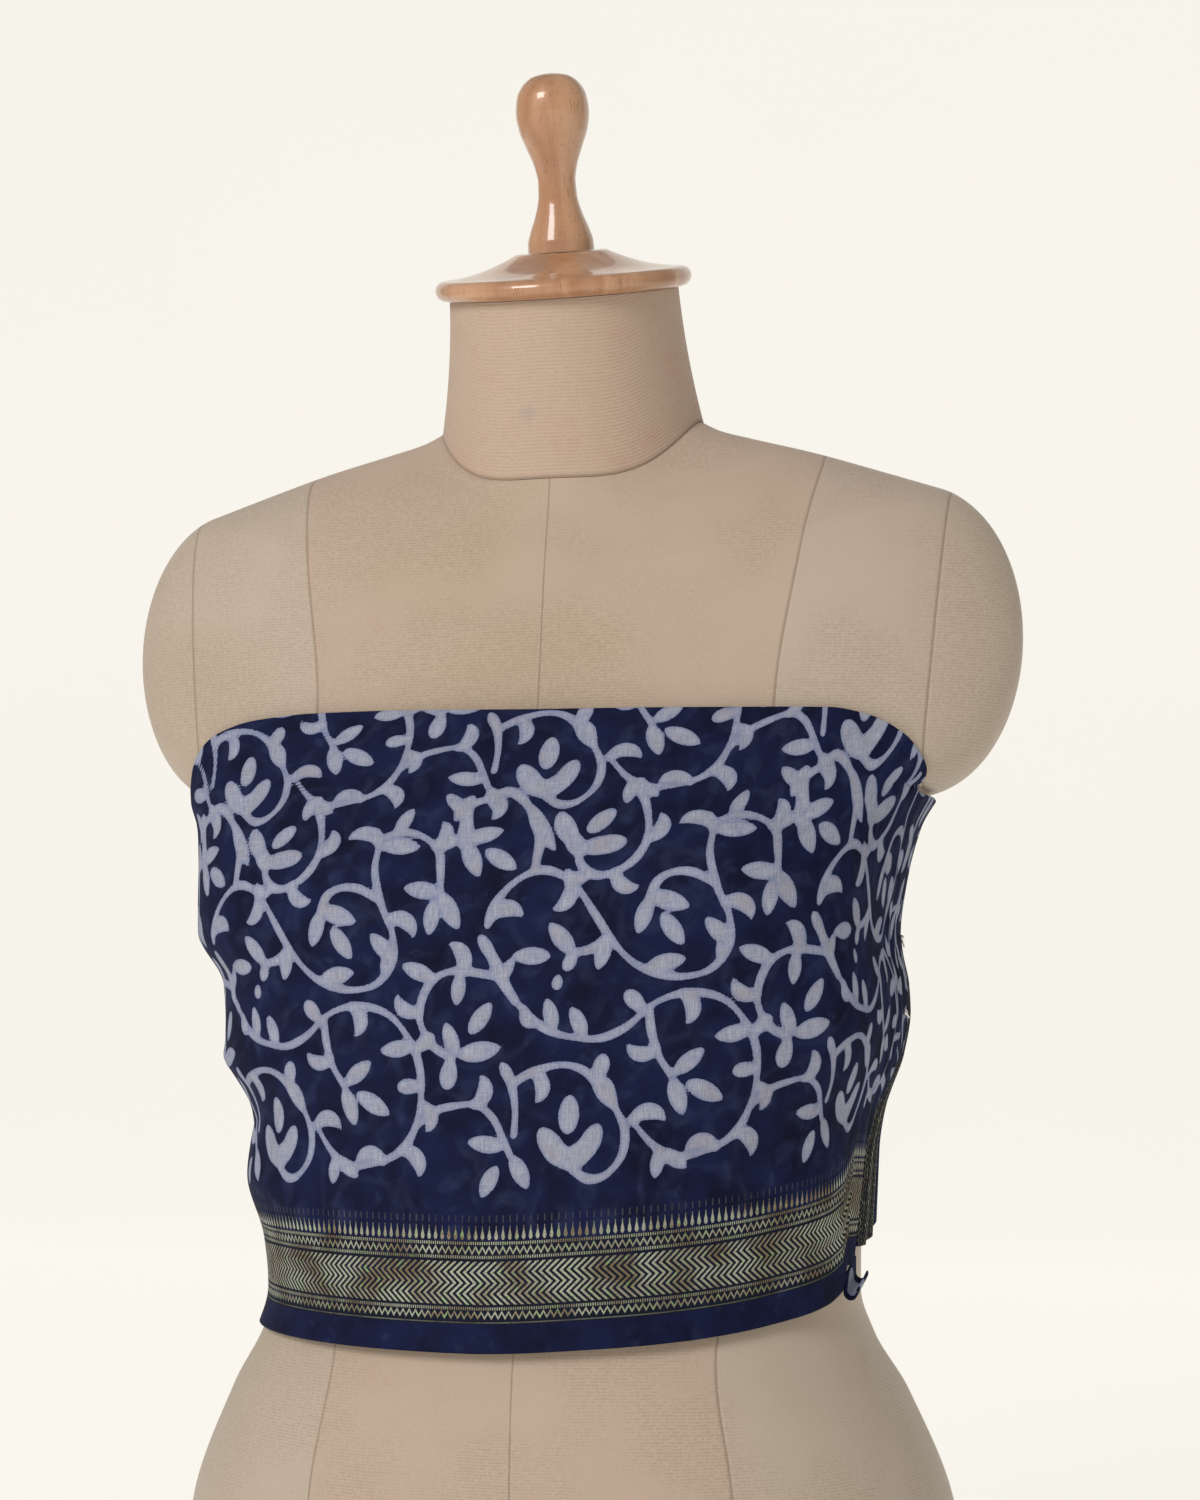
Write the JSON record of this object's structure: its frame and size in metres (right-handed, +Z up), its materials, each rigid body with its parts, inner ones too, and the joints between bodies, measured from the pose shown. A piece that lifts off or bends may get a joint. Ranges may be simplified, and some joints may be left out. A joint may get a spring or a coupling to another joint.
{
  "type": "saree cloth wound on a dress form",
  "caption": "Length of block-printed indigo saree cloth with a woven metallic border, wound round the bust and waist of a limbless dress form and pinned at the side.",
  "frame": {"origin": "centre of the bounding box at the underside of the form's closing board", "axes": "+Z up, -Y towards the front of the form, +X towards the form's left arm side, where the cloth is pinned"},
  "size_m": [0.398, 0.2279, 0.7495],
  "materials": {
    "printed_cloth": "indigo dyed cotton silk with a washed white vine print and a woven metallic border",
    "form_cover": "fine ribbed beige cotton, matt",
    "turned_wood": "clear lacquered beech",
    "pin_steel": "bright"
  },
  "bodies": {
    "root": {"form_torso": "form_cover", "form_cap_left": "form_cover", "form_cap_right": "form_cover", "form_neck": "form_cover", "neck_cap": "turned_wood", "finial": "turned_wood", "form_board": "turned_wood", "cloth_front": "printed_cloth", "cloth_back": "printed_cloth", "cloth_tail": "printed_cloth", "cloth_corner": "printed_cloth", "pin_upper": "pin_steel", "pin_lower": "pin_steel"}
  },
  "joints": []
}
